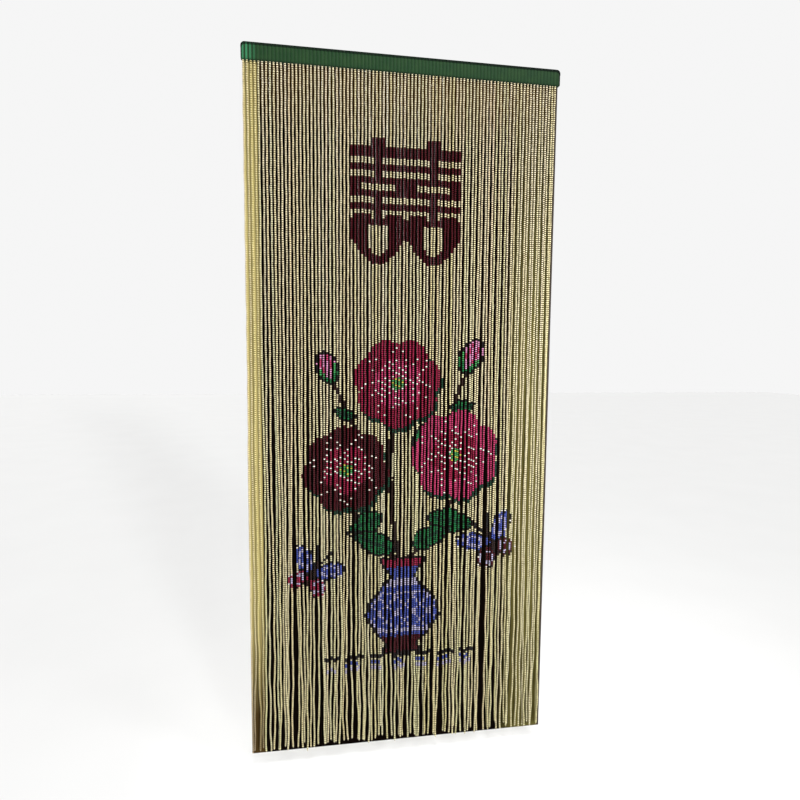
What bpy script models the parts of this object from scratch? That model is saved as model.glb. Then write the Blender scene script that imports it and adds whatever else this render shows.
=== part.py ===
"""Bead curtain: a green ribbed header rail with ninety bead strings hanging from it.

Metres, +Z up. The origin is the middle of the rail's flat top, the front faces -Y and +X is to the right.
The strings leave the rail in one even row. Lower down they step in front of and behind each other,
drift into bunches, part in a few tall gaps and end unevenly.
"""

import math
import random

import bmesh
import bpy

# The whole curtain
STRINGS = 90
PITCH = 0.010  # between neighbouring strings, and the width of one rib
CURTAIN_WIDTH = STRINGS * PITCH
CURTAIN_HEIGHT = 2.020  # from the rail's top to the lowest bead
CLEARANCE = 0.0003  # between the rail and the strip under it

# Header rail
RAIL_HEIGHT = 0.0430
RAIL_DEPTH = 0.0140  # over the crests of the ribs
RIB_RELIEF = 0.0016  # crest to valley
RIB_STEPS = 3
LIP_HEIGHT = 0.0060  # the plain edge along the rail's top
LIP_PROUD = 0.0008
CORNER_RADIUS = 0.0040
CORNER_STEPS = 4

# Strip that the strings are rooted in
STRIP_HEIGHT = 0.0025
STRIP_DEPTH = 0.0085
STRIP_INSET = 0.0010  # at each end of the rail
STRIP_TOP = -RAIL_HEIGHT - CLEARANCE
STRIP_BOTTOM = STRIP_TOP - STRIP_HEIGHT

# Strings, measured downwards from the strip
STRING_SIDE = 0.0050
STRING_STEPS = 11
DROP = CURTAIN_HEIGHT + STRIP_BOTTOM
SEED = 90
UNEVEN_END = 0.018  # the most that an ordinary string falls short
STAGGER = 0.0034  # how far a string stands in front of or behind the middle
STAGGER_DEPTH = 0.50  # the stagger is complete this far down
WANDER_START = 0.30
WANDER_FULL = 1.45
SLOW_WAVE = 1.10
SLOW_SWING = (0.0006, 0.0022)
QUICK_WAVE = 0.56
QUICK_SWING = (0.0003, 0.0012)
END_KICK = 0.0042  # how far the last stretch may swing aside
KICK_LENGTH = 0.30

# Drifts that crowd and spread the strings: wave along the rail, most shift, turns per metre of drop
BUNCHES = (
    {"wave": 0.034, "shift": 0.0013, "turns": 0.30},
    {"wave": 0.057, "shift": 0.0017, "turns": -0.20},
    {"wave": 0.131, "shift": 0.0020, "turns": 0.12},
)

# Tall gaps between two strings: place along the rail, middle and half height of the drop, push on each side
PARTINGS = (
    {"place": -0.410, "depth": 1.50, "half_height": 0.55, "push": 0.0030},
    {"place": -0.320, "depth": 1.80, "half_height": 0.45, "push": 0.0034},
    {"place": -0.250, "depth": 1.85, "half_height": 0.40, "push": 0.0034},
    {"place": -0.160, "depth": 1.88, "half_height": 0.16, "push": 0.0040},
    {"place": 0.000, "depth": 1.60, "half_height": 0.50, "push": 0.0030},
    {"place": 0.060, "depth": 1.70, "half_height": 0.45, "push": 0.0032},
    {"place": 0.120, "depth": 1.92, "half_height": 0.26, "push": 0.0038},
    {"place": 0.180, "depth": 1.10, "half_height": 0.55, "push": 0.0042},
    {"place": 0.250, "depth": 1.70, "half_height": 0.50, "push": 0.0050},
    {"place": 0.290, "depth": 1.92, "half_height": 0.20, "push": 0.0034},
)
PUSH_REACH = 0.020  # how far along the rail a gap crowds the strings beside it

# Strings that have lost beads: number from the left, how much shorter
SHORT_STRINGS = {38: 0.048, 61: 0.022, 74: 0.026}


def clear_scene():
    for thing in list(bpy.data.objects):
        bpy.data.objects.remove(thing, do_unlink=True)


def plastic(name, colour, roughness):
    material = bpy.data.materials.new(name)
    material.use_nodes = True
    shader = material.node_tree.nodes["Principled BSDF"]
    shader.inputs["Base Color"].default_value = (*colour, 1.0)
    shader.inputs["Roughness"].default_value = roughness
    shader.inputs["Metallic"].default_value = 0.0
    material.diffuse_color = (*colour, 1.0)
    return material


def finish_object(name, shape, material, smooth_angle):
    bmesh.ops.recalc_face_normals(shape, faces=shape.faces)
    mesh = bpy.data.meshes.new(name)
    shape.to_mesh(mesh)
    shape.free()
    mesh.shade_smooth()
    mesh.set_sharp_from_angle(angle=smooth_angle)
    mesh.materials.append(material)
    thing = bpy.data.objects.new(name, mesh)
    bpy.context.collection.objects.link(thing)
    return thing


def ease(value):
    """0 below 0, 1 above 1, and a smooth step between."""
    value = min(max(value, 0.0), 1.0)
    return value * value * (3.0 - 2.0 * value)


def rib_half_depth(step):
    """Half the rail's depth at a column, counted in steps along the ribs."""
    share = (step % RIB_STEPS) / RIB_STEPS
    return RAIL_DEPTH / 2 - RIB_RELIEF * (1.0 - math.sin(math.pi * share))


def lip_top_line():
    """The points of the lip's upper edge from left to right, with its rounded ends."""
    end = CURTAIN_WIDTH / 2
    arc = []
    for step in range(CORNER_STEPS + 1):
        turn = math.pi / 2 * step / CORNER_STEPS
        inset = CORNER_RADIUS * (1.0 - math.cos(turn))
        drop = CORNER_RADIUS * (1.0 - math.sin(turn))
        arc.append((inset, -drop))
    left = [(-end + inset, z) for inset, z in arc]
    middle = [(-end + rib * PITCH, 0.0) for rib in range(1, STRINGS)]
    right = [(end - inset, z) for inset, z in reversed(arc)]
    return left + middle + right


def header_rail(material):
    """One bar with a rib for each string on its front and back, and a plain lip along its top."""
    shape = bmesh.new()
    end = CURTAIN_WIDTH / 2
    columns = STRINGS * RIB_STEPS
    lip_half = RAIL_DEPTH / 2 + LIP_PROUD
    sides = (-1, 1)
    low, high = {}, {}
    for side in sides:
        for column in range(columns + 1):
            x = -end + column * PITCH / RIB_STEPS
            y = side * rib_half_depth(column)
            low[side, column] = shape.verts.new((x, y, -RAIL_HEIGHT))
            high[side, column] = shape.verts.new((x, y, -LIP_HEIGHT))
    lip = {}
    for side in sides:
        for rib in range(STRINGS + 1):
            lip[side, rib] = shape.verts.new((-end + rib * PITCH, side * lip_half, -LIP_HEIGHT))
    line = lip_top_line()
    top = {}
    for side in sides:
        for place, (x, z) in enumerate(line):
            top[side, place] = shape.verts.new((x, side * lip_half, z))
    for side in sides:
        for column in range(columns):
            shape.faces.new(
                (low[side, column], low[side, column + 1], high[side, column + 1], high[side, column])
            )
        for rib in range(STRINGS):
            first, last = rib * RIB_STEPS, (rib + 1) * RIB_STEPS
            under = [high[side, column] for column in range(first, last + 1)]
            shape.faces.new(under + [lip[side, rib + 1], lip[side, rib]])
            left, right = -end + rib * PITCH, -end + (rib + 1) * PITCH
            edge = [
                top[side, place]
                for place, (x, z) in enumerate(line)
                if left - CLEARANCE < x < right + CLEARANCE
            ]
            shape.faces.new([lip[side, rib + 1], lip[side, rib]] + edge)
    for rib in range(STRINGS):
        first, last = rib * RIB_STEPS, (rib + 1) * RIB_STEPS
        front = [low[-1, column] for column in range(first, last + 1)]
        back = [low[1, column] for column in range(last, first - 1, -1)]
        shape.faces.new(front + back)
    for place in range(len(line) - 1):
        shape.faces.new((top[-1, place], top[-1, place + 1], top[1, place + 1], top[1, place]))
    for column, rib, place in ((0, 0, 0), (columns, STRINGS, len(line) - 1)):
        shape.faces.new(
            (
                low[-1, column],
                low[1, column],
                high[1, column],
                lip[1, rib],
                top[1, place],
                top[-1, place],
                lip[-1, rib],
                high[-1, column],
            )
        )
    return finish_object("header_rail", shape, material, math.radians(50))


def draw_string(number, chance):
    """One string's own numbers: its place, its length and how it wanders."""
    return {
        "place": (number - (STRINGS - 1) / 2) * PITCH,
        "side": 1 if number % 2 else -1,
        "length": DROP - chance.uniform(0.0, UNEVEN_END) - SHORT_STRINGS.get(number, 0.0),
        "slow_swing": chance.uniform(*SLOW_SWING),
        "slow_phase": chance.uniform(0.0, math.tau),
        "quick_swing": chance.uniform(*QUICK_SWING),
        "quick_phase": chance.uniform(0.0, math.tau),
        "kick": chance.uniform(-END_KICK, END_KICK),
    }


def string_point(string, depth):
    """The middle of a string at a depth below the strip."""
    place = string["place"]
    wander = ease((depth - WANDER_START) / (WANDER_FULL - WANDER_START))
    shift = string["slow_swing"] * math.sin(math.tau * depth / SLOW_WAVE + string["slow_phase"])
    shift += string["quick_swing"] * math.sin(math.tau * depth / QUICK_WAVE + string["quick_phase"])
    for bunch in BUNCHES:
        turn = math.tau * (place / bunch["wave"] + bunch["turns"] * depth)
        shift += bunch["shift"] * math.sin(turn)
    x = place + wander * shift
    for parting in PARTINGS:
        away = place - parting["place"]
        fade = math.exp(-(((depth - parting["depth"]) / parting["half_height"]) ** 2))
        x += math.copysign(parting["push"], away) * math.exp(-abs(away) / PUSH_REACH) * fade * wander
    x += string["kick"] * ease((depth - string["length"] + KICK_LENGTH) / KICK_LENGTH)
    edge = CURTAIN_WIDTH / 2 - STRING_SIDE / 2
    x = min(max(x, -edge), edge)
    y = string["side"] * STAGGER * ease(depth / STAGGER_DEPTH)
    return x, y, STRIP_BOTTOM - depth


def string_depths(length):
    """Where the string's sections are: closer together towards the end, where it wanders most."""
    return [length * (step / STRING_STEPS) ** 0.85 for step in range(STRING_STEPS + 1)]


def square(shape, centre, x_half, y_half, z):
    corners = ((-1, -1), (1, -1), (1, 1), (-1, 1))
    return [shape.verts.new((centre[0] + a * x_half, centre[1] + b * y_half, z)) for a, b in corners]


def bead_strings(material):
    """Ninety four-sided strings, each rooted in its own cell of one narrow strip."""
    shape = bmesh.new()
    chance = random.Random(SEED)
    half = STRING_SIDE / 2
    rims = []
    for border in range(STRINGS + 1):
        x = -CURTAIN_WIDTH / 2 + border * PITCH
        if border == 0:
            x += STRIP_INSET
        if border == STRINGS:
            x -= STRIP_INSET
        rims.append(
            {
                (side, level): shape.verts.new((x, side * STRIP_DEPTH / 2, z))
                for side in (-1, 1)
                for level, z in (("top", STRIP_TOP), ("bottom", STRIP_BOTTOM))
            }
        )
    for number in range(STRINGS):
        string = draw_string(number, chance)
        left, right = rims[number], rims[number + 1]
        for side in (-1, 1):
            shape.faces.new(
                (left[side, "top"], right[side, "top"], right[side, "bottom"], left[side, "bottom"])
            )
        shape.faces.new((left[-1, "top"], right[-1, "top"], right[1, "top"], left[1, "top"]))
        ring = square(shape, string_point(string, 0.0), half, half, STRIP_BOTTOM)
        cell = [left[-1, "bottom"], right[-1, "bottom"], right[1, "bottom"], left[1, "bottom"]]
        for corner in range(4):
            after = (corner + 1) % 4
            shape.faces.new((cell[corner], cell[after], ring[after], ring[corner]))
        for depth in string_depths(string["length"])[1:]:
            centre = string_point(string, depth)
            lower = square(shape, centre, half, half, centre[2])
            for corner in range(4):
                after = (corner + 1) % 4
                shape.faces.new((ring[corner], ring[after], lower[after], lower[corner]))
            ring = lower
        shape.faces.new(ring)
    for rim in (rims[0], rims[-1]):
        shape.faces.new((rim[-1, "top"], rim[1, "top"], rim[1, "bottom"], rim[-1, "bottom"]))
    return finish_object("bead_strings", shape, material, math.radians(30))


clear_scene()
header_rail(plastic("green_rail_plastic", (0.035, 0.115, 0.052), 0.35))
bead_strings(plastic("cream_bead_plastic", (0.66, 0.59, 0.38), 0.30))
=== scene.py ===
"""Bead curtain: a green ribbed rail with ninety strings of small plastic beads, threaded as an ornament.

Metres, +Z up. The origin is the middle of the rail's flat top. The front faces -Y, and seen from there
+X is to the right.
"""

import math
import random

import bpy
import numpy as np
from mathutils import Matrix, Vector


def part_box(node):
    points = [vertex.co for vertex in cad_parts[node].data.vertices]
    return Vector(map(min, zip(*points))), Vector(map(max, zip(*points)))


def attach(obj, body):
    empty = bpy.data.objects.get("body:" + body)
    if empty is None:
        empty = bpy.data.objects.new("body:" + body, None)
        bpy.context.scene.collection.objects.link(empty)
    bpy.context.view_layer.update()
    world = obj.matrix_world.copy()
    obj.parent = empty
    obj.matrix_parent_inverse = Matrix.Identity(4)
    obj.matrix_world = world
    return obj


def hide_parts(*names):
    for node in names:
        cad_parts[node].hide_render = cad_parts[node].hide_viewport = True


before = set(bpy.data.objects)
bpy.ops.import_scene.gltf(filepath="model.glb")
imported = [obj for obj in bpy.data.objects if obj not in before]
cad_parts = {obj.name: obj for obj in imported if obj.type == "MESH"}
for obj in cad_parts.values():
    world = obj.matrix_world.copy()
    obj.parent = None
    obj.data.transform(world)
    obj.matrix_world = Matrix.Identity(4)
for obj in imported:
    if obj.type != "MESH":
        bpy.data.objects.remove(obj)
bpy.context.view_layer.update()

# Camera
# It stands a little left of the curtain's middle, 1.6 m off and level with the upper blossoms, and
# looks slightly to the right and down. It is turned by less than half a degree about its own line.
CAMERA_PLACE = Vector((-0.259, -1.582, -0.823))
CAMERA_YAW = math.radians(8.839)
CAMERA_PITCH = math.radians(-4.867)
CAMERA_ROLL = math.radians(0.430)
FOCAL_PIXELS = 547.5
PICTURE_PIXELS = 800

lens = bpy.data.cameras.new("camera")
lens.sensor_width = 36.0
lens.lens = lens.sensor_width * FOCAL_PIXELS / PICTURE_PIXELS
lens.clip_start = 0.05
camera = bpy.data.objects.new("camera", lens)
bpy.context.scene.collection.objects.link(camera)
level = math.cos(CAMERA_PITCH)
ahead = Vector((math.sin(CAMERA_YAW) * level, math.cos(CAMERA_YAW) * level, math.sin(CAMERA_PITCH)))
sideways = Vector((math.cos(CAMERA_YAW), -math.sin(CAMERA_YAW), 0.0))
upright = sideways.cross(ahead)
right = sideways * math.cos(CAMERA_ROLL) + upright * math.sin(CAMERA_ROLL)
above = upright * math.cos(CAMERA_ROLL) - sideways * math.sin(CAMERA_ROLL)
turned = Matrix((right, above, -ahead)).transposed().to_4x4()
camera.matrix_world = Matrix.Translation(CAMERA_PLACE) @ turned
bpy.context.scene.camera = camera

# Header rail
# One long moulding of green plastic, ribbed front and back with a rib for each string. A plain lip runs
# along its top, dark with painted shade; its edges are eased, and its two upper corners are rounded.
STRINGS = 90
RIB_RELIEF = 0.0008
RIB_STEPS = 6
LIP_HEIGHT = 0.0072
LIP_PROUD = 0.0008
LIP_EASE = 0.0007
RIB_EASE = 0.0006
CORNER_LENGTH = 0.0110
CORNER_DROP = 0.0105
END_COLUMNS = (0.0, 0.12, 0.35, 0.7)
SHARP_ANGLE = math.radians(40)

# Its finish, with lengths in metres. The worn range is in the mottling's own scale, and the shares of
# dust and painted shade are of the full dark colour.
RAIL_GREEN = (0.010, 0.033, 0.012)
RAIL_WORN = (0.019, 0.047, 0.016)
RAIL_DIRT_AND_SHADE = (0.003, 0.006, 0.004)
RAIL_PAINTED_HIGHLIGHT = (0.030, 0.150, 0.068)
STREAK_SIZE = 0.006
STREAK_STRETCH = (1.0, 1.0, 0.12)
RAIL_MOTTLE = 0.030
GRAIN_SIZE = 0.0012
GRAIN_DEPTH = 0.00012
WORN_RANGE = (0.68, 1.02)
HIGHLIGHT_LENGTH = 0.045
HIGHLIGHT_FLANK = (0.0012, 0.0042)
GROOVE_SHADE = (0.0020, 0.0004)
FOOT_DUST = 0.006
LIP_BLEND = (-0.0006, 0.0008)
DARK_END = (-0.0060, -0.0030)
DUST_AND_SHADE = {"foot": 0.40, "groove": 0.35, "end": 0.60, "right": 0.18, "lip": 0.80}

rail_low, rail_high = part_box("header_rail")
PITCH = (rail_high.x - rail_low.x) / STRINGS
LIP_HALF = rail_high.y
RIB_HALF = LIP_HALF - LIP_PROUD


class Wire:
    """A node's output. Sums and products of wires and numbers add the Math nodes that work them out."""

    def __init__(self, socket):
        self.socket = socket

    def node(self, kind, settings, inputs, output=0):
        """Adds a node to the same material: its settings first, then its sockets' values or wires."""
        tree = self.socket.id_data
        made = tree.nodes.new(kind)
        for name, value in settings.items():
            setattr(made, name, value)
        for name, value in inputs.items():
            if isinstance(value, Wire):
                tree.links.new(value.socket, made.inputs[name])
            else:
                made.inputs[name].default_value = value
        return Wire(made.outputs[output])

    def __add__(self, other):
        return self.node("ShaderNodeMath", {"operation": "ADD"}, {0: self, 1: other})

    def __radd__(self, other):
        return self.node("ShaderNodeMath", {"operation": "ADD"}, {0: other, 1: self})

    def __mul__(self, other):
        return self.node("ShaderNodeMath", {"operation": "MULTIPLY"}, {0: self, 1: other})

    def __rmul__(self, other):
        return self.node("ShaderNodeMath", {"operation": "MULTIPLY"}, {0: other, 1: self})


def new_material(name):
    """A new material, its shader, and the wire of each point's place on the object."""
    material = bpy.data.materials.new(name)
    material.use_nodes = True
    tree = material.node_tree
    place = Wire(tree.nodes.new("ShaderNodeTexCoord").outputs["Object"])
    return material, tree.nodes["Principled BSDF"], place


def feed(shader, name, wire):
    shader.id_data.links.new(wire.socket, shader.inputs[name])


def mixed(share, first, second):
    """The first colour where share is 0 and the second where it is 1."""
    first, second = (c if isinstance(c, Wire) else (*c, 1.0) for c in (first, second))
    return share.node("ShaderNodeMix", {"data_type": "RGBA"}, {0: share, 6: first, 7: second}, output=2)


def limited(wire, low, high):
    """0 at low, 1 at high, and no further."""
    inputs = {"Value": wire, "From Min": low, "From Max": high}
    return wire.node("ShaderNodeMapRange", {"clamp": True}, inputs)


def scaled(vector, factors):
    """A vector or colour wire times another, or times three fixed factors."""
    return vector.node("ShaderNodeVectorMath", {"operation": "MULTIPLY"}, {0: vector, 1: factors})


def noise(place, size, detail=2.0):
    """Soft mottling with lumps of a size in metres."""
    return place.node("ShaderNodeTexNoise", {}, {"Vector": place, "Scale": 1.0 / size, "Detail": detail})


def raised(height, depth, strength):
    """A bump's normal from a height wire and its full depth in metres."""
    return height.node("ShaderNodeBump", {}, {"Height": height, "Distance": depth, "Strength": strength})


def moulded_green():
    """Old green polystyrene, streaked, rubbed and dusty, darker at the ends, with painted shade and
    highlight.
    """
    material, shader, place = new_material("moulded_green")
    along, height = (place.node("ShaderNodeSeparateXYZ", {}, {0: place}, output=axis) for axis in (0, 2))
    from_groove = along.node("ShaderNodeMath", {"operation": "PINGPONG"}, {0: along, 1: PITCH / 2})
    from_middle = along.node("ShaderNodeMath", {"operation": "ABSOLUTE"}, {0: along})
    # The lip's painted shade follows the rounded corners down.
    corner = limited(from_middle, rail_high.x - CORNER_LENGTH, rail_high.x)
    height = height + CORNER_DROP * corner * corner
    streaks = noise(scaled(place, STREAK_STRETCH), STREAK_SIZE)
    mottle = noise(place, RAIL_MOTTLE, detail=4.0)
    grain = noise(place, GRAIN_SIZE)
    worn = limited(mottle + 0.6 * streaks, *WORN_RANGE)
    colour = mixed(0.6 * worn, RAIL_GREEN, RAIL_WORN)
    # A painted highlight on the crowns of the first few ribs at the left.
    painted_highlight = limited(along, rail_low.x + HIGHLIGHT_LENGTH, rail_low.x + HIGHLIGHT_LENGTH / 3)
    colour = mixed(painted_highlight * limited(from_groove, *HIGHLIGHT_FLANK), colour, RAIL_PAINTED_HIGHLIGHT)
    # Dust at the foot and darker ends; painted shade on the lip, in the grooves and towards the right.
    foot = limited(height, rail_low.z + FOOT_DUST, rail_low.z)
    lip = limited(height, -LIP_HEIGHT + LIP_BLEND[0], -LIP_HEIGHT + LIP_BLEND[1])
    end = limited(from_middle, rail_high.x + DARK_END[0], rail_high.x + DARK_END[1])
    dust_and_shade = DUST_AND_SHADE["foot"] * foot * mottle + DUST_AND_SHADE["groove"] * limited(from_groove, *GROOVE_SHADE)
    dust_and_shade = dust_and_shade + DUST_AND_SHADE["end"] * end + DUST_AND_SHADE["right"] * limited(along, 0.0, rail_high.x)
    dust_and_shade = dust_and_shade + DUST_AND_SHADE["lip"] * lip
    feed(shader, "Base Color", mixed(limited(dust_and_shade, 0.0, 1.0), colour, RAIL_DIRT_AND_SHADE))
    feed(shader, "Roughness", 0.38 + 0.16 * mottle + 0.10 * grain + 0.25 * lip)
    feed(shader, "Normal", raised(grain + 1.5 * streaks, GRAIN_DEPTH, 0.6))
    shader.inputs["Specular IOR Level"].default_value = 0.04
    return material


def rib_half_depth(column):
    share = (column % RIB_STEPS) / RIB_STEPS
    return RIB_HALF - RIB_RELIEF * (1.0 - math.sin(math.pi * share))


def corner_drop(x):
    """How far the rail's top falls at a place along it, which is nothing but near the two ends."""
    inside = min(x - rail_low.x, rail_high.x - x)
    rounded = max(0.0, 1.0 - inside / CORNER_LENGTH)
    return CORNER_DROP * (1.0 - math.sqrt(1.0 - rounded**2))


def rail_section(column):
    """The rail's outline at one place along it: up the front, over the top and down the back."""
    x = rail_low.x + column * PITCH / RIB_STEPS
    rib = rib_half_depth(column)
    top = rail_high.z
    front = (
        (rib - RIB_EASE, rail_low.z),
        (rib, rail_low.z + RIB_EASE),
        (rib, -LIP_HEIGHT - RIB_EASE),
        (min(rib + RIB_EASE, LIP_HALF - LIP_EASE), -LIP_HEIGHT),
        (LIP_HALF - LIP_EASE / 2, -LIP_HEIGHT),
        (LIP_HALF, -LIP_HEIGHT + LIP_EASE / 2),
        (LIP_HALF, top - LIP_EASE),
        (LIP_HALF - LIP_EASE / 3, top - LIP_EASE / 3),
        (LIP_HALF - LIP_EASE, top),
    )
    squeeze = 1.0 - corner_drop(x) / (rail_high.z - rail_low.z)
    front = [(y, rail_low.z + (z - rail_low.z) * squeeze) for y, z in front]
    return [(x, -y, z) for y, z in front] + [(x, y, z) for y, z in reversed(front)]


columns = [*END_COLUMNS, *range(1, STRINGS * RIB_STEPS)]
columns += [STRINGS * RIB_STEPS - column for column in reversed(END_COLUMNS)]
sections = [rail_section(column) for column in columns]
around = len(sections[0])
rail_points = [point for section in sections for point in section]
last = len(rail_points) - around
rail_faces = [tuple(range(around)), tuple(reversed(range(last, last + around)))]
for start in range(0, last, around):
    following = start + around
    for corner in range(around):
        after = (corner + 1) % around
        rail_faces.append((start + corner, start + after, following + after, following + corner))

rail_mesh = bpy.data.meshes.new("ribbed_rail")
rail_mesh.from_pydata(rail_points, [], rail_faces)
rail_mesh.shade_smooth()
rail_mesh.set_sharp_from_angle(angle=SHARP_ANGLE)
rail_mesh.materials.append(moulded_green())
rail = bpy.data.objects.new("ribbed_rail", rail_mesh)
bpy.context.scene.collection.objects.link(rail)
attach(rail, "root")
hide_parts("header_rail")

# Ornament
# Each string is threaded by count, so the ornament is a chart with a column for each string and a row
# for each bead. A wedding sign stands over a vase of garden flowers between two butterflies.
CURTAIN_HEIGHT = 2.020
STRIP_HEIGHT = 0.0025
BEAD = 0.006
strings_low, strings_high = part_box("bead_strings")
STRIP_BOTTOM = strings_high.z - STRIP_HEIGHT
DROP = CURTAIN_HEIGHT + STRIP_BOTTOM
ROWS = int(DROP / BEAD) + 2
PLASTICS = {
    "cream": (0.675, 0.622, 0.462),
    "maroon": (0.064, 0.003, 0.008),
    "crimson": (0.260, 0.010, 0.045),
    "pink": (0.440, 0.038, 0.125),
    "blush": (0.580, 0.240, 0.440),
    "green": (0.010, 0.150, 0.045),
    "leaf_light": (0.050, 0.290, 0.085),
    "dark_green": (0.008, 0.050, 0.028),
    "brown": (0.022, 0.009, 0.007),
    "blue": (0.052, 0.080, 0.360),
    "lilac": (0.420, 0.400, 0.600),
    "white": (0.760, 0.730, 0.680),
    "yellow": (0.520, 0.430, 0.060),
    "black": (0.006, 0.005, 0.006),
}
NAMES = list(PLASTICS)

number, row = np.meshgrid(np.arange(STRINGS), np.arange(ROWS), indexing="ij")
across = (number - (STRINGS - 1) / 2) * PITCH
down = (row + 0.5) * BEAD - STRIP_BOTTOM
chart = np.zeros((STRINGS, ROWS), int)
every_third = (2 * number + row) % 3 == 0


def thread(where, plastic):
    chart[where] = NAMES.index(plastic)


# The sign is counted in strings and rows from its upper left. Its halves are alike, each with a post,
# five bars, an open box and a loop. A half's columns are told by how far they lie from its middle.
SIGN_STRING, SIGN_ROW, SIGN_HALF = 29, 29, 16
SIGN_BARS = ((4, 5), (12, 3), (18, 3), (24, 3), (30, 3))
POST_ROWS, POST_HALF = 4, 2
BOX_ROWS, BOX_HALF = (21, 24), 5
LOOP_TOP, LOOP_SHOULDER = 35, 2
LOOP_SIDE, LOOP_ROUND, LOOP_HALF, LOOP_POWER = 10, 13, 8, 1.7
HOLE_TOP, HOLE_SIDE, HOLE_ROUND, HOLE_HALF = 5, 15, 3.2, 3

column, line = number - SIGN_STRING, row - SIGN_ROW
on_sign = (column >= 0) & (column < 2 * SIGN_HALF)
column = np.where(column < SIGN_HALF, column, 2 * SIGN_HALF - 1 - column)
lean = abs(column - (SIGN_HALF - 1) / 2)
sign = (lean < POST_HALF) & (line >= 0) & (line < POST_ROWS)
for top, height in SIGN_BARS:
    sign |= (line >= top) & (line < top + height)
sign |= (lean < 1) & (line >= POST_ROWS) & (line < LOOP_TOP + LOOP_SHOULDER)
box_rows = (line >= BOX_ROWS[0]) & (line < BOX_ROWS[1])
sign = (sign & ~(box_rows & (lean < BOX_HALF))) | (box_rows & (lean > BOX_HALF))
on_top = (lean > POST_HALF) & (lean < LOOP_HALF - 1)
shoulder = np.where(on_top, LOOP_TOP, LOOP_TOP + LOOP_SHOULDER)
loop_end = LOOP_TOP + LOOP_SIDE + LOOP_ROUND * (1 - (lean / LOOP_HALF) ** LOOP_POWER)
sign |= (line >= shoulder) & (line < loop_end)
hole_end = LOOP_TOP + HOLE_SIDE + HOLE_ROUND * (1 - (lean / HOLE_HALF) ** 2)
sign &= ~((lean < HOLE_HALF) & (line >= LOOP_TOP + HOLE_TOP) & (line < hole_end))
thread(sign & on_sign, "maroon")


def turned_places(x, d, angle):
    """Every bead's place in a frame at (x, d) whose first axis points at an angle above +X."""
    slope = math.radians(angle)
    dx, dz = across - x, d - down
    return dx * math.cos(slope) + dz * math.sin(slope), dz * math.cos(slope) - dx * math.sin(slope)


def disc(x, d, radius):
    return (across - x) ** 2 + (down - d) ** 2 < radius**2


def hump(share):
    """0 at both ends of a shape and 1 in its middle, for a share from 0 to 1 along it."""
    return np.sin(math.pi * np.clip(share, 0.0, 1.0))


# The blossoms' sizes are shares of each one's own size, and its edges and shadow are in metres.
BLOSSOM_RINGS = (
    {"petals": 7, "out": 0.58, "radius": 0.44, "turn": 0},
    {"petals": 5, "out": 0.28, "radius": 0.30, "turn": 18},
)
PETAL_SHADOW = (0.006, 0.012)
PETAL_LAP = 0.004
STITCH_WIDTH = 0.0075
STITCH_REACH = 0.92
EYE_RADIUS = 0.15


def blossom(x, d, size, outer, inner, turn):
    """A round garden blossom: two rings of petals, white stitches between them and a shadow below."""
    petals = []
    for ring, plastic in zip(BLOSSOM_RINGS, (outer, inner)):
        out = ring["out"] * size
        for petal in range(ring["petals"]):
            angle = math.radians(turn + 360 * petal / ring["petals"] + ring["turn"])
            centre = (x + out * math.cos(angle), d - out * math.sin(angle))
            petals.append((*centre, ring["radius"] * size, plastic))
    for px, pd, radius, _ in petals[: BLOSSOM_RINGS[0]["petals"]]:
        thread(disc(px + PETAL_SHADOW[0], pd + PETAL_SHADOW[1], radius), "dark_green")
    for px, pd, radius, plastic in petals:
        thread(disc(px, pd, radius), plastic)
    for place, (px, pd, radius, _) in enumerate(petals):
        covered = np.zeros_like(sign)
        for qx, qd, reach, _ in petals[:place] + petals[place + 1 :]:
            covered |= disc(qx, qd, reach - PETAL_LAP)
        edge = disc(px, pd, radius) & ~disc(px, pd, radius - STITCH_WIDTH)
        thread(edge & covered & disc(x, d, STITCH_REACH * size) & every_third, "white")
    thread(disc(x, d, EYE_RADIUS * size), "leaf_light")
    thread(disc(x, d, EYE_RADIUS * size) & every_third, "yellow")


LEAF_POINT = 0.8
LEAF_RIM = 0.0065
MIDRIB_HALF = 0.0042
VEINS = {"slant": 0.9, "step": 0.030, "width": 0.0060, "margin": 0.010}


def leaf(x, d, length, width, angle):
    """A pointed leaf from its stalk end, with a dark rim, midrib and slanting veins."""
    along, beside = turned_places(x, d, angle)
    share = along / length
    swell = width / 2 * hump(np.clip(share, 0, 1) ** LEAF_POINT)
    half = np.where((share > 0) & (share < 1), swell, -1)
    side = abs(beside)
    vein = np.mod(along - VEINS["slant"] * side, VEINS["step"]) < VEINS["width"]
    thread(side < half, "green")
    thread((side < half) & (side < MIDRIB_HALF), "dark_green")
    thread((side < half - VEINS["margin"]) & vein, "dark_green")
    thread((side < half) & (side > half - LEAF_RIM), "black")


STEM_STEPS = 120


def stem(start, bend, end, width):
    """A stem from start to end, drawn towards a bend between them."""
    for share in np.linspace(0, 1, STEM_STEPS):
        weights = ((1 - share) ** 2, 2 * share * (1 - share), share**2)
        x, d = (sum(w * point[axis] for w, point in zip(weights, (start, bend, end))) for axis in (0, 1))
        thread(disc(x, d, width / 2), "brown")


BUD_SLIMNESS = 0.62
BUD_RIM = 0.007
BUD_STRIPES = {"step": 0.026, "half": 0.004}
BUD_CUP = {"tip": 0.15, "notch": 2.2, "half": 0.5, "base": -0.45}


def bud(x, d, size, angle):
    """A closed bud in a green cup, on the end of its stem."""
    along, beside = turned_places(x, d, angle)
    width = BUD_SLIMNESS * size
    thread((along / (size + BUD_RIM)) ** 2 + (beside / (width + BUD_RIM)) ** 2 < 1, "black")
    body = (along / size) ** 2 + (beside / width) ** 2 < 1
    stripe = abs(np.mod(beside, BUD_STRIPES["step"]) - BUD_STRIPES["step"] / 2)
    notch = BUD_CUP["notch"] * np.clip(BUD_CUP["half"] * size - abs(beside), 0, None)
    cup = body & (along < BUD_CUP["tip"] * size - notch)
    thread(body, "blush")
    thread(body & (stripe < BUD_STRIPES["half"]), "pink")
    thread(cup, "leaf_light")
    thread(cup & (along < BUD_CUP["base"] * size), "green")


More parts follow.
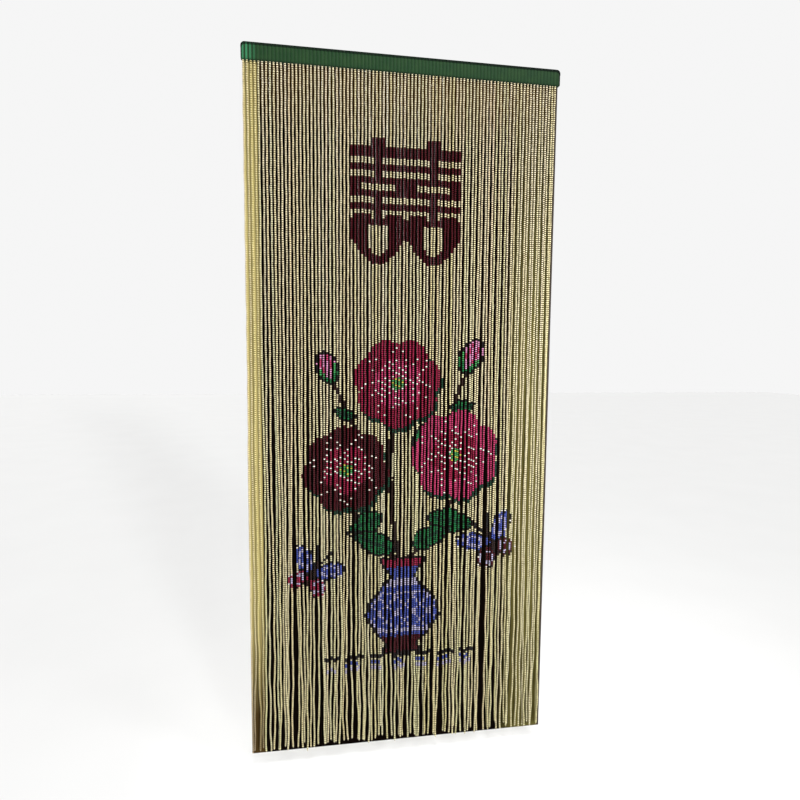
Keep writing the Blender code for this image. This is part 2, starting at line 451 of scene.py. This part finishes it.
BUTTERFLY_WINGS = (
    {"along": 0.34, "side": 0.50, "long": 0.36, "wide": 0.50, "slant": 0.50},
    {"along": -0.34, "side": 0.36, "long": 0.34, "wide": 0.34, "slant": -0.20},
)
WING_RIM = 0.86
WING_STRIPE = (0.36, 0.62)
WING_DOTS = 0.78
FEELER = {"start": 0.45, "end": 0.95, "root": 0.38, "spread": 0.55, "half": 0.0052}
BUTTERFLY_BODY = {"long": 0.56, "wide": 0.085}


def butterfly(x, d, size, angle, fore, hind):
    """A butterfly from above: four striped wings with dotted rims, a brown body and two feelers."""
    along, beside = turned_places(x, d, angle)
    side = abs(beside)
    for wing, plastic in zip(BUTTERFLY_WINGS, (fore, hind)):
        v = side - size * wing["side"]
        u = along - size * wing["along"] - wing["slant"] * v
        reach = np.sqrt((u / wing["long"]) ** 2 + (v / wing["wide"]) ** 2) / size
        thread(reach < 1, "black")
        thread(reach < WING_RIM, plastic)
        thread((reach > WING_STRIPE[0]) & (reach < WING_STRIPE[1]), "lilac")
        thread((reach > WING_DOTS) & (reach < 1) & (v > 0) & ((number + row) % 4 == 0), "white")
    feeler = (along > FEELER["start"] * size) & (along < FEELER["end"] * size)
    aside = side - FEELER["spread"] * (along - FEELER["root"] * size)
    thread(feeler & (abs(aside) < FEELER["half"]), "black")
    long, wide = (BUTTERFLY_BODY[key] * size for key in ("long", "wide"))
    thread((along / long) ** 2 + (side / wide) ** 2 < 1, "brown")


# The vase's bands are shares of its height, and its edges and lattice are in metres.
RIM_END = 0.10
COLLAR = (0.22, 0.31)
BELLY = (0.36, 0.78)
BELLY_LINES = (0.395, 0.745)
FOOT_START = 0.83
END_LINES = (0.022, 0.978)
SIDE_LINE = 0.0095
LATTICE = {"step": 0.050, "width": 0.009}
VASE_OUTLINE = (
    {"share": 0.00, "half": 0.072},
    {"share": 0.07, "half": 0.066},
    {"share": 0.20, "half": 0.040},
    {"share": 0.34, "half": 0.074},
    {"share": 0.50, "half": 0.112},
    {"share": 0.62, "half": 0.116},
    {"share": 0.78, "half": 0.086},
    {"share": 0.91, "half": 0.050},
    {"share": 1.00, "half": 0.064},
)


def vase(x, d, height):
    """A round vase with its rim at a depth: a rim, a plain neck, a belly with a lattice, and a foot."""
    share = (down - d) / height
    shares, halves = ([stop[key] for stop in VASE_OUTLINE] for key in ("share", "half"))
    half = np.where((share > 0) & (share < 1), np.interp(share, shares, halves), -1)
    aside = across - x
    body = abs(aside) < half
    belly = body & (share > BELLY[0]) & (share < BELLY[1])
    thread(body, "blue")
    thread(body & (share < RIM_END), "crimson")
    thread(body & (share > COLLAR[0]) & (share < COLLAR[1]), "lilac")
    for slant in (1, -1):
        bar = np.mod(aside + slant * (down - d), LATTICE["step"])
        thread(belly & (bar < LATTICE["width"]), "lilac")
    thread(belly & ((share < BELLY_LINES[0]) | (share > BELLY_LINES[1])), "lilac")
    thread(body & (share > FOOT_START), "maroon")
    thread(body & (abs(aside) > half - SIDE_LINE), "black")
    thread(body & ((share < END_LINES[0]) | (share > END_LINES[1])), "black")


stem((-0.030, 0.98), (-0.060, 1.20), (-0.012, 1.43), 0.012)
stem((-0.175, 1.20), (-0.150, 1.36), (-0.022, 1.43), 0.012)
stem((0.170, 1.16), (0.140, 1.34), (0.020, 1.43), 0.012)
stem((0.190, 0.87), (0.110, 1.05), (0.080, 1.26), 0.010)
stem((-0.215, 0.90), (-0.150, 1.00), (-0.130, 1.10), 0.010)
leaf(0.030, 1.120, 0.130, 0.060, 62)
leaf(-0.060, 1.300, 0.120, 0.066, 205)
leaf(0.070, 1.310, 0.165, 0.080, -12)
leaf(0.020, 1.400, 0.140, 0.070, 24)
leaf(-0.020, 1.410, 0.150, 0.074, 160)
leaf(-0.140, 1.010, 0.080, 0.040, 160)
leaf(0.130, 0.985, 0.095, 0.042, 8)
bud(0.200, 0.830, 0.050, 60)
bud(-0.225, 0.865, 0.044, 112)
blossom(-0.020, 0.910, 0.130, "crimson", "pink", 12)
blossom(-0.170, 1.160, 0.125, "maroon", "crimson", 40)
blossom(0.155, 1.125, 0.135, "pink", "crimson", 25)
butterfly(-0.270, 1.470, 0.085, 62, "blue", "crimson")
butterfly(0.275, 1.400, 0.095, 118, "blue", "maroon")
vase(0.000, 1.430, 0.300)

# Dashed lines under the vase. Each dash is a number of strings in every seven.
DASH_STEP = 7
MAT_LINES = (
    {"depth": 1.738, "plastic": "black", "dash": 5, "half_width": 0.235},
    {"depth": 1.756, "plastic": "blue", "dash": 3, "half_width": 0.205},
    {"depth": 1.774, "plastic": "lilac", "dash": 4, "half_width": 0.225},
)
for mat_line in MAT_LINES:
    on_line = (abs(down - mat_line["depth"]) < BEAD) & (abs(across) < mat_line["half_width"])
    thread(on_line & (np.mod(number, DASH_STEP) < mat_line["dash"]), mat_line["plastic"])

# Bead strings
# Ninety cords threaded with small barrel beads of glossy plastic, held in the rail and knotted under
# the last bead. They hang straight from the rail, then wander, crowd, part and end unevenly. The last
# ones at the right stand a little in from the rail's end.
SEED = 90
UNEVEN_END = 0.018
STAGGER = 0.0034
STAGGER_DEPTH = 0.50
WANDER_START = 0.30
WANDER_FULL = 1.45
SLOW_WAVE = 1.10
SLOW_SWING = (0.0006, 0.0022)
QUICK_WAVE = 0.56
QUICK_SWING = (0.0003, 0.0012)
END_KICK = 0.0042
KICK_LENGTH = 0.30
BUNCHES = (
    {"wave": 0.034, "shift": 0.0013, "turns": 0.30},
    {"wave": 0.057, "shift": 0.0017, "turns": -0.20},
    {"wave": 0.131, "shift": 0.0020, "turns": 0.12},
)
PARTINGS = (
    {"place": -0.410, "depth": 1.50, "half_height": 0.55, "push": 0.0030},
    {"place": -0.320, "depth": 1.80, "half_height": 0.45, "push": 0.0034},
    {"place": -0.250, "depth": 1.85, "half_height": 0.40, "push": 0.0034},
    {"place": -0.160, "depth": 1.88, "half_height": 0.16, "push": 0.0040},
    {"place": 0.000, "depth": 1.60, "half_height": 0.50, "push": 0.0030},
    {"place": 0.060, "depth": 1.70, "half_height": 0.45, "push": 0.0032},
    {"place": 0.120, "depth": 1.92, "half_height": 0.26, "push": 0.0038},
    {"place": 0.180, "depth": 1.10, "half_height": 0.55, "push": 0.0042},
    {"place": 0.250, "depth": 1.70, "half_height": 0.50, "push": 0.0050},
    {"place": 0.290, "depth": 1.92, "half_height": 0.20, "push": 0.0034},
)
PUSH_REACH = 0.020
DRAWN_IN = 0.0075
DRAWN_REACH = 0.028
SHORT_STRINGS = {38: 0.048, 61: 0.022, 74: 0.026}
STRING_EDGE = rail_high.x - 0.0030

# Kinks are the short bends that a bead string keeps from its cord: slight at the top, loose below.
KINKS = (
    {"waves": (0.150, 0.260), "top": 0.0003, "foot": 0.0014},
    {"waves": (0.050, 0.090), "top": 0.0003, "foot": 0.0003},
)
KINKS_START = 1.20
KINKS_FULL = 1.90

BEAD_RADIUS = 0.00262
JOINT_RADIUS = 0.00080
BEAD_SIDES = 5
BEAD_BANDS = 3
SHOULDERS = (0.0, 0.31, 0.69)
KNOT_RADIUS = 0.0013
KNOT_LENGTH = 0.0030
END_RADIUS = 0.0002
UNEVEN_SIZE = 0.05
MOST_UNEVEN = 2
MOST_SLIP = 0.0020
MOST_STRETCH = 0.0022
STRINGS_A_PIECE = 15
CELL_MARGIN = 0.12

# Cream strings differ in batch. The first ones at the left are tinted with painted warm light and carry
# painted shade at the foot. Cream also turns darker and yellower towards the foot.
ROSY = np.array([1.03, 0.95, 0.90])
GREENISH = np.array([0.93, 0.98, 0.86])
PALE = np.array([1.04, 1.04, 1.06])
GOLDEN = np.array([0.98, 0.96, 0.84])
WARM_LIGHT_TINT = np.array([0.92, 0.91, 0.74])
PAINTED_FOOT_SHADE = np.array([0.42, 0.37, 0.38])
FOOT_SHADE_START = 1.52
FOOT_SHADE_FULL = 1.98
DULLED = np.array([0.88, 0.91, 0.82])
WARM_LIT_STRINGS = 4
UNEVEN_TINT = 0.07
CORD = np.array([0.50, 0.44, 0.32])
GRIMY_AND_SHADED = (0.12, 0.07, 0.01)
JOINT_GRIME_AND_SHADE = 0.45
GRIMY_SWIRL = (0.55, 0.80)
SWIRL_SIZE = 0.0016
SWIRL_DEPTH = 0.00008


def ease(value):
    value = np.clip(value, 0.0, 1.0)
    return value * value * (3.0 - 2.0 * value)


def draw_string(place_number, chance):
    """One string's own numbers: its place, its length and how it wanders."""
    return {
        "place": (place_number - (STRINGS - 1) / 2) * PITCH,
        "side": 1 if place_number % 2 else -1,
        "length": DROP - chance.uniform(0.0, UNEVEN_END) - SHORT_STRINGS.get(place_number, 0.0),
        "slow_swing": chance.uniform(*SLOW_SWING),
        "slow_phase": chance.uniform(0.0, math.tau),
        "quick_swing": chance.uniform(*QUICK_SWING),
        "quick_phase": chance.uniform(0.0, math.tau),
        "kick": chance.uniform(-END_KICK, END_KICK),
    }


def string_line(string, depth, looks):
    """The middle of a string at an array of depths below the strip."""
    place = string["place"]
    wander = ease((depth - WANDER_START) / (WANDER_FULL - WANDER_START))
    shift = string["slow_swing"] * np.sin(math.tau * depth / SLOW_WAVE + string["slow_phase"])
    shift += string["quick_swing"] * np.sin(math.tau * depth / QUICK_WAVE + string["quick_phase"])
    for bunch in BUNCHES:
        shift += bunch["shift"] * np.sin(math.tau * (place / bunch["wave"] + bunch["turns"] * depth))
    x = place + wander * shift
    for parting in PARTINGS:
        away = place - parting["place"]
        push = math.copysign(parting["push"], away) * math.exp(-abs(away) / PUSH_REACH)
        x += push * np.exp(-(((depth - parting["depth"]) / parting["half_height"]) ** 2)) * wander
    x += string["kick"] * ease((depth - string["length"] + KICK_LENGTH) / KICK_LENGTH)
    x -= DRAWN_IN * math.exp((place - STRING_EDGE) / DRAWN_REACH)
    loose = ease((depth - KINKS_START) / (KINKS_FULL - KINKS_START))
    for kink in KINKS:
        swing = kink["top"] + (kink["foot"] - kink["top"]) * loose
        x += swing * np.sin(math.tau * (depth / looks.uniform(*kink["waves"]) + looks.uniform()))
    y = string["side"] * STAGGER * ease(depth / STAGGER_DEPTH)
    return np.stack([np.clip(x, -STRING_EDGE, STRING_EDGE), y, STRIP_BOTTOM - depth], axis=-1)


def bead_plastic():
    """Glossy plastic in each bead's own colour, unevenly yellowed, with grime and painted shade in the
    joints.
    """
    material, shader, place = new_material("bead_plastic")
    colour = place.node("ShaderNodeAttribute", {"attribute_name": "plastic"}, {})
    joint = place.node("ShaderNodeAttribute", {"attribute_name": "joint"}, {}, output=2)
    shade = place.node("ShaderNodeAttribute", {"attribute_name": "shade"}, {}, output=2)
    swirl = noise(place, SWIRL_SIZE, detail=1.0)
    # Grime and painted shade darken the joints between beads; random tone and swirls add to it.
    grime_and_shade = limited(joint, 0.0, JOINT_GRIME_AND_SHADE) + 0.20 * shade + 0.12 * limited(swirl, *GRIMY_SWIRL)
    grimy_and_shaded = scaled(colour, GRIMY_AND_SHADED)
    feed(shader, "Base Color", mixed(limited(grime_and_shade, 0.0, 1.0), colour, grimy_and_shaded))
    feed(shader, "Roughness", 0.27 + 0.10 * swirl + 0.35 * joint)
    feed(shader, "Normal", raised(swirl, SWIRL_DEPTH, 0.3))
    shader.inputs["Specular IOR Level"].default_value = 0.08
    return material


def batch_colours(member, plastics, depth, looks):
    """Each bead's colour. Cream takes its string's batch and height, and on the first strings painted
    light and shade.
    """
    rosy, greenish, pale, golden = looks.uniform(size=4)
    batch = 1 + (ROSY - 1) * rosy + (GREENISH - 1) * greenish
    batch = batch + (PALE - 1) * pale + (GOLDEN - 1) * golden**2
    dulled = 1 + (DULLED - 1) * ease(depth / DROP)[:, None]
    # The first strings at the left: a painted warm light, and painted shade towards the foot.
    if member < WARM_LIT_STRINGS:
        foot_shade = ease((depth - FOOT_SHADE_START) / (FOOT_SHADE_FULL - FOOT_SHADE_START))
        batch = batch * WARM_LIGHT_TINT
        dulled = 1 + (PAINTED_FOOT_SHADE - 1) * foot_shade[:, None]
    own = np.array(list(PLASTICS.values()))[plastics]
    own = own * np.where(plastics[:, None] == NAMES.index("cream"), batch * dulled, 1.0)
    uneven = looks.standard_normal((len(plastics), 1)).clip(-MOST_UNEVEN, MOST_UNEVEN)
    return own * (1 + UNEVEN_TINT * uneven)


def bead_cells(first_cell, count, grid):
    """The map of each face's corners, with one cell of a square grid for each bead."""
    side, band = np.meshgrid(np.arange(BEAD_SIDES), np.arange(BEAD_BANDS))
    corner = np.array([(1, 0), (0, 0), (0, 1), (1, 1)])
    face = np.stack([side, band], axis=-1).reshape(-1, 1, 2)
    inner = CELL_MARGIN / 2 + (1 - CELL_MARGIN) * (face + corner) / (BEAD_SIDES, BEAD_BANDS)
    cell = first_cell + np.arange(count)
    at = np.stack([cell % grid, cell // grid], axis=-1)[:, None, None, :]
    return (at + inner).reshape(-1, 2) / grid


def string_of_beads(member, looks):
    """One string's points, faces and looks: a half bead under the rail, whole beads and a knot."""
    string = strings[member]
    stretch = BEAD * (1 + looks.uniform(-MOST_STRETCH, MOST_STRETCH))
    slip = looks.uniform(0.0, MOST_SLIP)
    whole = int((string["length"] - slip - KNOT_LENGTH) / stretch)
    joints = slip + stretch * np.arange(whole + 1)
    joints = np.concatenate([[-STRIP_HEIGHT], joints, [joints[-1] + KNOT_LENGTH]])
    count = len(joints) - 1
    uneven = looks.standard_normal(count).clip(-MOST_UNEVEN, MOST_UNEVEN)
    size = BEAD_RADIUS * (1 + UNEVEN_SIZE * uneven)
    size[-1] = KNOT_RADIUS
    levels = joints[:-1, None] + np.diff(joints)[:, None] * SHOULDERS
    levels = np.append(levels.ravel(), joints[-1])
    radius = np.stack([np.full(count, JOINT_RADIUS), size, size], axis=-1)
    radius = np.append(radius.ravel(), END_RADIUS)
    radius[0] = END_RADIUS
    angle = math.tau * (np.arange(BEAD_SIDES) + looks.uniform()) / BEAD_SIDES
    ring = np.stack([np.cos(angle), np.sin(angle), np.zeros(BEAD_SIDES)], axis=-1)
    points = string_line(string, levels, looks)[:, None, :] + radius[:, None, None] * ring
    side = np.arange(BEAD_SIDES)
    after = (side + 1) % BEAD_SIDES
    start = BEAD_SIDES * np.arange(len(levels) - 1)[:, None]
    quads = (start + after, start + side, start + BEAD_SIDES + side, start + BEAD_SIDES + after)
    plastics = chart[member, np.arange(-1, count - 1).clip(0)]
    colours = batch_colours(member, plastics, joints[:-1], looks)
    colours[-1] = CORD
    return {
        "points": points.reshape(-1, 3),
        "faces": np.stack(quads, axis=-1).reshape(-1, 4),
        "plastic": np.repeat(colours, BEAD_SIDES * BEAD_BANDS, axis=0),
        "shade": np.repeat(looks.uniform(size=count) ** 2, BEAD_SIDES * BEAD_BANDS),
        "joint": np.repeat(np.arange(len(levels)) % BEAD_BANDS == 0, BEAD_SIDES),
        "count": count,
    }


def bead_piece(name, members, material, looks):
    """A group of neighbouring strings as one mesh."""
    parts = [string_of_beads(member, looks) for member in members]
    grid = math.ceil(math.sqrt(sum(part["count"] for part in parts)))
    starts = np.cumsum([0] + [len(part["points"]) for part in parts])
    cells = np.cumsum([0] + [part["count"] for part in parts])
    keys = ("points", "plastic", "shade", "joint")
    joined = {key: np.concatenate([part[key] for part in parts]) for key in keys}
    faces = np.concatenate([part["faces"] + start for part, start in zip(parts, starts)])
    mesh = bpy.data.meshes.new(name)
    mesh.from_pydata(joined["points"], [], faces)
    mesh.shade_smooth()
    mesh.materials.append(material)
    paint = mesh.attributes.new("plastic", "FLOAT_COLOR", "FACE")
    paint.data.foreach_set("color", np.column_stack([joined["plastic"], np.ones(len(faces))]).ravel())
    shade = mesh.attributes.new("shade", "FLOAT", "FACE")
    shade.data.foreach_set("value", joined["shade"])
    joint = mesh.attributes.new("joint", "FLOAT", "POINT")
    joint.data.foreach_set("value", joined["joint"].astype(float))
    layout = mesh.uv_layers.new(name="OFBake")
    maps = [bead_cells(cell, part["count"], grid) for part, cell in zip(parts, cells)]
    layout.data.foreach_set("uv", np.concatenate(maps).ravel())
    ends = np.zeros(len(mesh.edges) * 2, int)
    mesh.edges.foreach_get("vertices", ends)
    mesh.edges.foreach_set("use_edge_sharp", joined["joint"][ends.reshape(-1, 2)].all(axis=1))
    piece = bpy.data.objects.new(name, mesh)
    bpy.context.scene.collection.objects.link(piece)
    return piece


chance = random.Random(SEED)
strings = [draw_string(place_number, chance) for place_number in range(STRINGS)]
looks = np.random.default_rng(SEED)
glossy_beads = bead_plastic()
for first in range(0, STRINGS, STRINGS_A_PIECE):
    members = range(first, first + STRINGS_A_PIECE)
    name = f"bead_strings_{first + 1}_to_{first + STRINGS_A_PIECE}"
    piece = bead_piece(name, members, glossy_beads, looks)
    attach(piece, "root")
    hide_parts("bead_strings")

# Floor and backdrop
# A plain pale floor just below the strings. Close behind them stands a thin card, seen from its front
# only, painted with the shade and light of a dark doorway so that the strings stand out. It is black
# painted shade, olive painted light towards its right with a painted shadow strip beside the last
# string, tan painted light behind the first strings, and brown at its head.
FLOOR_GAP = 0.030
FLOOR_SIZE = 30.0
FLOOR_MOTTLE = 0.4
FLOOR_PALE = (0.78, 0.78, 0.775)
FLOOR_PALER = (0.81, 0.81, 0.805)
CARD_GAP = 0.012
CARD_START = rail_low.x + 0.003
CARD_END = rail_high.x + 0.0012
CARD_FOOT = strings_low.z - 0.002
CARD_HEAD = rail_low.z + 0.010

# Where the card's colours meet, along it or by height. A waver moves a border with the mottling.
CARD_MOTTLE = 0.25
CARD_SPLIT = rail_low.x + WARM_LIT_STRINGS * PITCH
SPLIT_BLEND = 0.0005
STRIP_START = rail_high.x - 0.0055
STRIP_BLEND = 0.0015
OLIVE_RANGE = (0.33, 0.39)
OLIVE_WAVER = 0.04
OLIVE_LIT = (-0.30, -0.80)
OLIVE_DIM = 0.35
HEAD_RANGE = (-0.19, -0.05)
HEAD_WAVER = 0.05
HEAD_SHARE = 0.8
TAN_RANGE = (-1.50, -1.90)
CARD_BLACK = (0.0020, 0.0012, 0.0008)
CARD_OLIVE = (0.062, 0.054, 0.016)
CARD_TAN = (0.300, 0.252, 0.100)
CARD_BROWN = (0.034, 0.020, 0.006)
CARD_SHADOW_STRIP = (0.030, 0.024, 0.020)

bpy.ops.mesh.primitive_plane_add(size=FLOOR_SIZE, location=(0, 0, strings_low.z - FLOOR_GAP))
floor = bpy.context.object
floor.name = "floor"
paper, shader, place = new_material("pale_floor")
feed(shader, "Base Color", mixed(noise(place, FLOOR_MOTTLE), FLOOR_PALE, FLOOR_PALER))
shader.inputs["Roughness"].default_value = 0.95
shader.inputs["Specular IOR Level"].default_value = 0.2
floor.data.materials.append(paper)

corners = [(CARD_START, CARD_FOOT), (CARD_END, CARD_FOOT)]
corners += [(x, CARD_HEAD) for x, _ in reversed(corners)]
card_mesh = bpy.data.meshes.new("doorway_shade_card")
card_mesh.from_pydata([(x, CARD_GAP, z) for x, z in corners], [], [(0, 1, 2, 3)])
card = bpy.data.objects.new("doorway_shade_card", card_mesh)
bpy.context.scene.collection.objects.link(card)
card.visible_shadow = False
card.visible_diffuse = False
card.visible_glossy = False
card_paper, shader, place = new_material("doorway_shade_card")
x, z = (place.node("ShaderNodeSeparateXYZ", {}, {0: place}, output=axis) for axis in (0, 2))
mottle = noise(place, CARD_MOTTLE)
# Painted light on the olive: dim near the top, full lower down.
lit = OLIVE_DIM + (1 - OLIVE_DIM) * limited(z, *OLIVE_LIT)
olive = limited(x + OLIVE_WAVER * mottle, *OLIVE_RANGE) * lit
head = HEAD_SHARE * limited(z + HEAD_WAVER * mottle, *HEAD_RANGE)
# A painted shadow strip beside the last string.
strip = limited(x, STRIP_START, STRIP_START + STRIP_BLEND)
first_strings = limited(x, CARD_SPLIT + SPLIT_BLEND, CARD_SPLIT - SPLIT_BLEND)
colour = mixed(olive, CARD_BLACK, CARD_OLIVE)
colour = mixed(head, colour, CARD_BROWN)
colour = mixed(strip, colour, CARD_SHADOW_STRIP)
# Painted light behind the first strings: tan, turning brown towards the foot.
tan = mixed(limited(z, *TAN_RANGE), CARD_TAN, CARD_BROWN)
feed(shader, "Base Color", mixed(first_strings, colour, tan))
shader.inputs["Roughness"].default_value = 1.0
shader.inputs["Specular IOR Level"].default_value = 0.0
behind = place.node("ShaderNodeNewGeometry", {}, {}, output=6)
clear = place.node("ShaderNodeBsdfTransparent", {}, {})
one_sided = place.node("ShaderNodeMixShader", {}, {0: behind, 1: Wire(shader.outputs[0]), 2: clear})
feed(card_paper.node_tree.nodes["Material Output"], "Surface", one_sided)
card_mesh.materials.append(card_paper)

# Lights
# Three broad soft lights: one from high above for the floor, one from in front and one from behind. A
# window stands at the right, and a strip at the left lights the outermost strings.
STUDIO_SKY = 0.24
STUDIO_WALL = 0.92
WIDE_SUN = math.radians(20)
NARROW_SUN = math.radians(9)
WINDOW_SIDE = 0.5
EDGE_STRIP = {"shape": "RECTANGLE", "size": 0.08, "size_y": 1.7}

world = bpy.data.worlds.new("studio")
bpy.context.scene.world = world
world.use_nodes = True
sky = world.node_tree.nodes["Background"]
sky.inputs["Color"].default_value = (1.0, 1.0, 1.0, 1.0)
seen = Wire(world.node_tree.nodes.new("ShaderNodeLightPath").outputs["Is Camera Ray"])
feed(sky, "Strength", STUDIO_SKY + (STUDIO_WALL - STUDIO_SKY) * seen)


def add_lamp(name, kind, place, target, power, **sizes):
    """A lamp at a place, turned to a target, with its own sizes: a sun's angle or an area's sides."""
    light = bpy.data.lights.new(name, kind)
    light.energy = power
    for size, value in sizes.items():
        setattr(light, size, value)
    lamp = bpy.data.objects.new(name, light)
    lamp.location = place
    lamp.rotation_euler = (Vector(target) - Vector(place)).to_track_quat("-Z", "Y").to_euler()
    lamp.visible_camera = False
    bpy.context.scene.collection.objects.link(lamp)


add_lamp("high", "SUN", (-0.1, -0.4, 2.0), (0.0, 0.0, 0.0), 1.75, angle=WIDE_SUN)
add_lamp("front", "SUN", (0.42, -1.0, 0.16), (0.0, 0.0, 0.0), 4.1, angle=NARROW_SUN)
add_lamp("window", "AREA", (1.0, -0.9, -0.90), (0.35, 0.0, -0.90), 18, size=WINDOW_SIDE)
add_lamp("rear", "SUN", (-0.3, 1.0, 0.40), (0.0, 0.0, 0.0), 1.2, angle=WIDE_SUN)
add_lamp("edge", "AREA", (-0.80, -0.06, -0.85), (-0.45, 0.0, -0.85), 2.0, **EDGE_STRIP)

bpy.context.scene.view_settings.view_transform = "Standard"
